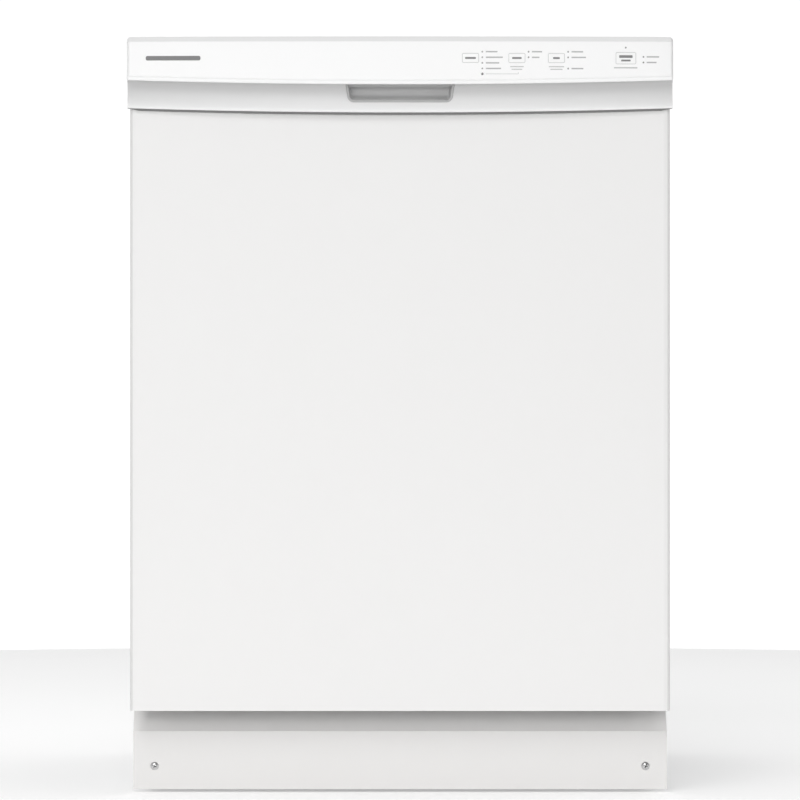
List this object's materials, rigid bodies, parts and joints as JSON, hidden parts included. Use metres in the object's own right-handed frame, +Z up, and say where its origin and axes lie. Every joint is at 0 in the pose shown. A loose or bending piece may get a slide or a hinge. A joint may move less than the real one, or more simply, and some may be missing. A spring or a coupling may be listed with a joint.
{
  "type": "built-in dishwasher",
  "caption": "Built-in front-loading dishwasher with a drop-down door, bowed control console with a pocket handle, sliding racks, spray arms and a recessed kick panel.",
  "frame": {"origin": "on the floor below the middle of the machine, centred on width and depth", "axes": "+Z up, the door faces -Y, +X is to the right as seen from the front"},
  "size_m": [0.606, 0.635, 0.843],
  "materials": {
    "tub_plastic": "satin",
    "seal_rubber": "matte",
    "felt": "matte",
    "zinc_steel": "galvanised",
    "zinc_hardware": "zinc plated",
    "white_enamel": "semi-gloss",
    "screw_steel": "bright",
    "valve_plastic": "satin",
    "hose_rubber": "matte",
    "dark_plastic": "satin",
    "motor_steel": "satin",
    "element_metal": "oxidised",
    "grey_plastic": "satin",
    "spring_steel": "bright",
    "cable_cord": "matte",
    "liner_plastic": "satin",
    "white_plastic": "gloss",
    "pocket_plastic": "satin",
    "board_resin": "satin",
    "dispenser_plastic": "satin",
    "pale_plastic": "satin",
    "lamp_lens": "gloss",
    "key_plastic": "gloss",
    "rail_steel": "satin",
    "rack_vinyl": "vinyl coated",
    "arm_plastic": "satin",
    "wheel_plastic": "satin",
    "basket_plastic": "satin"
  },
  "bodies": {
    "cabinet": {"tub": "tub_plastic", "door_gasket": "seal_rubber", "sound_blanket": "felt", "base_frame": "zinc_steel", "leveling_feet": "zinc_hardware", "counter_brackets": "zinc_hardware", "hinge_pins": "zinc_hardware", "kick_panel": "white_enamel", "kick_screws": "screw_steel", "inlet_valve": "valve_plastic", "fill_hose": "hose_rubber", "sump": "dark_plastic", "wash_motor": "motor_steel", "drain_pump": "dark_plastic", "heating_element": "element_metal", "filter_plate": "grey_plastic", "delivery_tube": "grey_plastic", "top_spray_head": "grey_plastic", "roller_brackets": "grey_plastic", "junction_box": "zinc_steel", "strike_plate": "zinc_hardware", "door_springs": "spring_steel", "door_cables": "cable_cord"},
    "door": {"door_panel": "white_enamel", "door_liner": "liner_plastic", "console": "white_plastic", "handle_pocket": "pocket_plastic", "control_board": "board_resin", "latch_housing": "dark_plastic", "latch_jaws": "spring_steel", "dispenser_body": "dispenser_plastic", "door_vent": "grey_plastic", "hinge_arms": "zinc_steel", "door_insulation": "felt", "liner_screws": "screw_steel", "status_lights": "lamp_lens"},
    "spring_hooks": {"spring_hooks": "zinc_hardware"},
    "cycles_key": {"cycles_key": "key_plastic"},
    "temp_key": {"temp_key": "key_plastic"},
    "dry_key": {"dry_key": "key_plastic"},
    "start_key": {"start_key": "key_plastic"},
    "dispenser_cover": {"dispenser_cover": "pale_plastic"},
    "rinse_cap": {"rinse_cap": "pale_plastic"},
    "rails": {"rack_rails": "rail_steel"},
    "rail_rollers_front": {"rail_rollers_front": "pale_plastic"},
    "rail_rollers_rear": {"rail_rollers_rear": "pale_plastic"},
    "upper_rack": {"upper_rack": "rack_vinyl", "upper_tines": "rack_vinyl", "rack_brackets": "grey_plastic", "rack_manifold": "grey_plastic"},
    "middle_spray_arm": {"middle_spray_arm": "arm_plastic"},
    "cup_shelf_left": {"cup_shelf_left": "rack_vinyl"},
    "cup_shelf_right": {"cup_shelf_right": "rack_vinyl"},
    "lower_rack": {"lower_rack": "rack_vinyl", "lower_tines": "rack_vinyl", "silverware_basket": "basket_plastic"},
    "rack_wheels_front": {"rack_wheels_front": "wheel_plastic"},
    "rack_wheels_rear": {"rack_wheels_rear": "wheel_plastic"},
    "lower_spray_arm": {"lower_spray_arm": "arm_plastic"},
    "float": {"float": "pale_plastic"}
  },
  "joints": [
    {"name": "door_hinge", "type": "hinge", "parent": "cabinet", "child": "door", "pos_m": [0, -0.275, 0.11], "axis": [1, 0, 0], "range_deg": [0, 90], "stiffness_Nm_per_rad": 20, "deforming": ["door_springs", "door_cables", "latch_jaws"]},
    {"name": "spring_pull", "type": "slide", "parent": "cabinet", "child": "spring_hooks", "axis": [0, -1, 0], "range_m": [0, 0.038], "deforming": ["door_springs", "door_cables"]},
    {"name": "cycles_key_press", "type": "slide", "parent": "door", "child": "cycles_key", "axis": [0, 1, 0], "range_m": [0, 0.001], "stiffness_N_per_m": 600},
    {"name": "temp_key_press", "type": "slide", "parent": "door", "child": "temp_key", "axis": [0, 1, 0], "range_m": [0, 0.001], "stiffness_N_per_m": 600},
    {"name": "dry_key_press", "type": "slide", "parent": "door", "child": "dry_key", "axis": [0, 1, 0], "range_m": [0, 0.001], "stiffness_N_per_m": 600},
    {"name": "start_key_press", "type": "slide", "parent": "door", "child": "start_key", "axis": [0, 1, 0], "range_m": [0, 0.001], "stiffness_N_per_m": 600},
    {"name": "cover_hinge", "type": "hinge", "parent": "door", "child": "dispenser_cover", "pos_m": [-0.032, -0.23145, 0.4], "axis": [-1, 0, 0], "range_deg": [0, 90]},
    {"name": "cap_turn", "type": "hinge", "parent": "door", "child": "rinse_cap", "pos_m": [0.04, -0.2327, 0.445], "axis": [0, 1, 0], "range_deg": [0, 90]},
    {"name": "rail_slide", "type": "slide", "parent": "cabinet", "child": "rails", "axis": [0, -1, 0], "range_m": [0, 0.2285]},
    {"name": "rail_rollers_front_turn", "type": "hinge", "parent": "cabinet", "child": "rail_rollers_front", "pos_m": [0, -0.2, 0.536], "axis": [1, 0, 0], "range_deg": [0, 1221]},
    {"name": "rail_rollers_rear_turn", "type": "hinge", "parent": "cabinet", "child": "rail_rollers_rear", "pos_m": [0, -0.02, 0.536], "axis": [1, 0, 0], "range_deg": [0, 1221]},
    {"name": "upper_rack_slide", "type": "slide", "parent": "cabinet", "child": "upper_rack", "axis": [0, -1, 0], "range_m": [0, 0.456]},
    {"name": "middle_arm_spin", "type": "hinge", "parent": "upper_rack", "child": "middle_spray_arm", "pos_m": [0, 0.027, 0.441], "axis": [0, 0, 1], "continuous": true},
    {"name": "left_shelf_fold", "type": "hinge", "parent": "upper_rack", "child": "cup_shelf_left", "pos_m": [-0.232, 0, 0.57], "axis": [0, -1, 0], "range_deg": [0, 80]},
    {"name": "right_shelf_fold", "type": "hinge", "parent": "upper_rack", "child": "cup_shelf_right", "pos_m": [0.232, 0, 0.57], "axis": [0, 1, 0], "range_deg": [0, 80]},
    {"name": "lower_rack_slide", "type": "slide", "parent": "cabinet", "child": "lower_rack", "axis": [0, -1, 0], "range_m": [0, 0.126]},
    {"name": "rack_wheels_front_turn", "type": "hinge", "parent": "lower_rack", "child": "rack_wheels_front", "pos_m": [0, -0.132, 0.1524], "axis": [1, 0, 0], "range_deg": [0, 425]},
    {"name": "rack_wheels_rear_turn", "type": "hinge", "parent": "lower_rack", "child": "rack_wheels_rear", "pos_m": [0, 0.15, 0.1524], "axis": [1, 0, 0], "range_deg": [0, 425]},
    {"name": "lower_arm_spin", "type": "hinge", "parent": "cabinet", "child": "lower_spray_arm", "pos_m": [0, 0.027, 0.159], "axis": [0, 0, 1], "continuous": true},
    {"name": "float_rise", "type": "slide", "parent": "cabinet", "child": "float", "axis": [0, 0, 1], "range_m": [0, 0.012]}
  ],
  "couplings": [
    {"joint": "spring_pull", "follows": "door_hinge", "m_per_rad": 0.024},
    {"joint": "rail_slide", "follows": "door_hinge", "m_per_rad": 0.145},
    {"joint": "upper_rack_slide", "follows": "door_hinge", "m_per_rad": 0.29},
    {"joint": "lower_rack_slide", "follows": "door_hinge", "m_per_rad": 0.08},
    {"joint": "rail_rollers_front_turn", "follows": "door_hinge", "ratio": 13.551},
    {"joint": "rail_rollers_rear_turn", "follows": "door_hinge", "ratio": 13.551},
    {"joint": "rack_wheels_front_turn", "follows": "door_hinge", "ratio": 4.7059},
    {"joint": "rack_wheels_rear_turn", "follows": "door_hinge", "ratio": 4.7059}
  ]
}
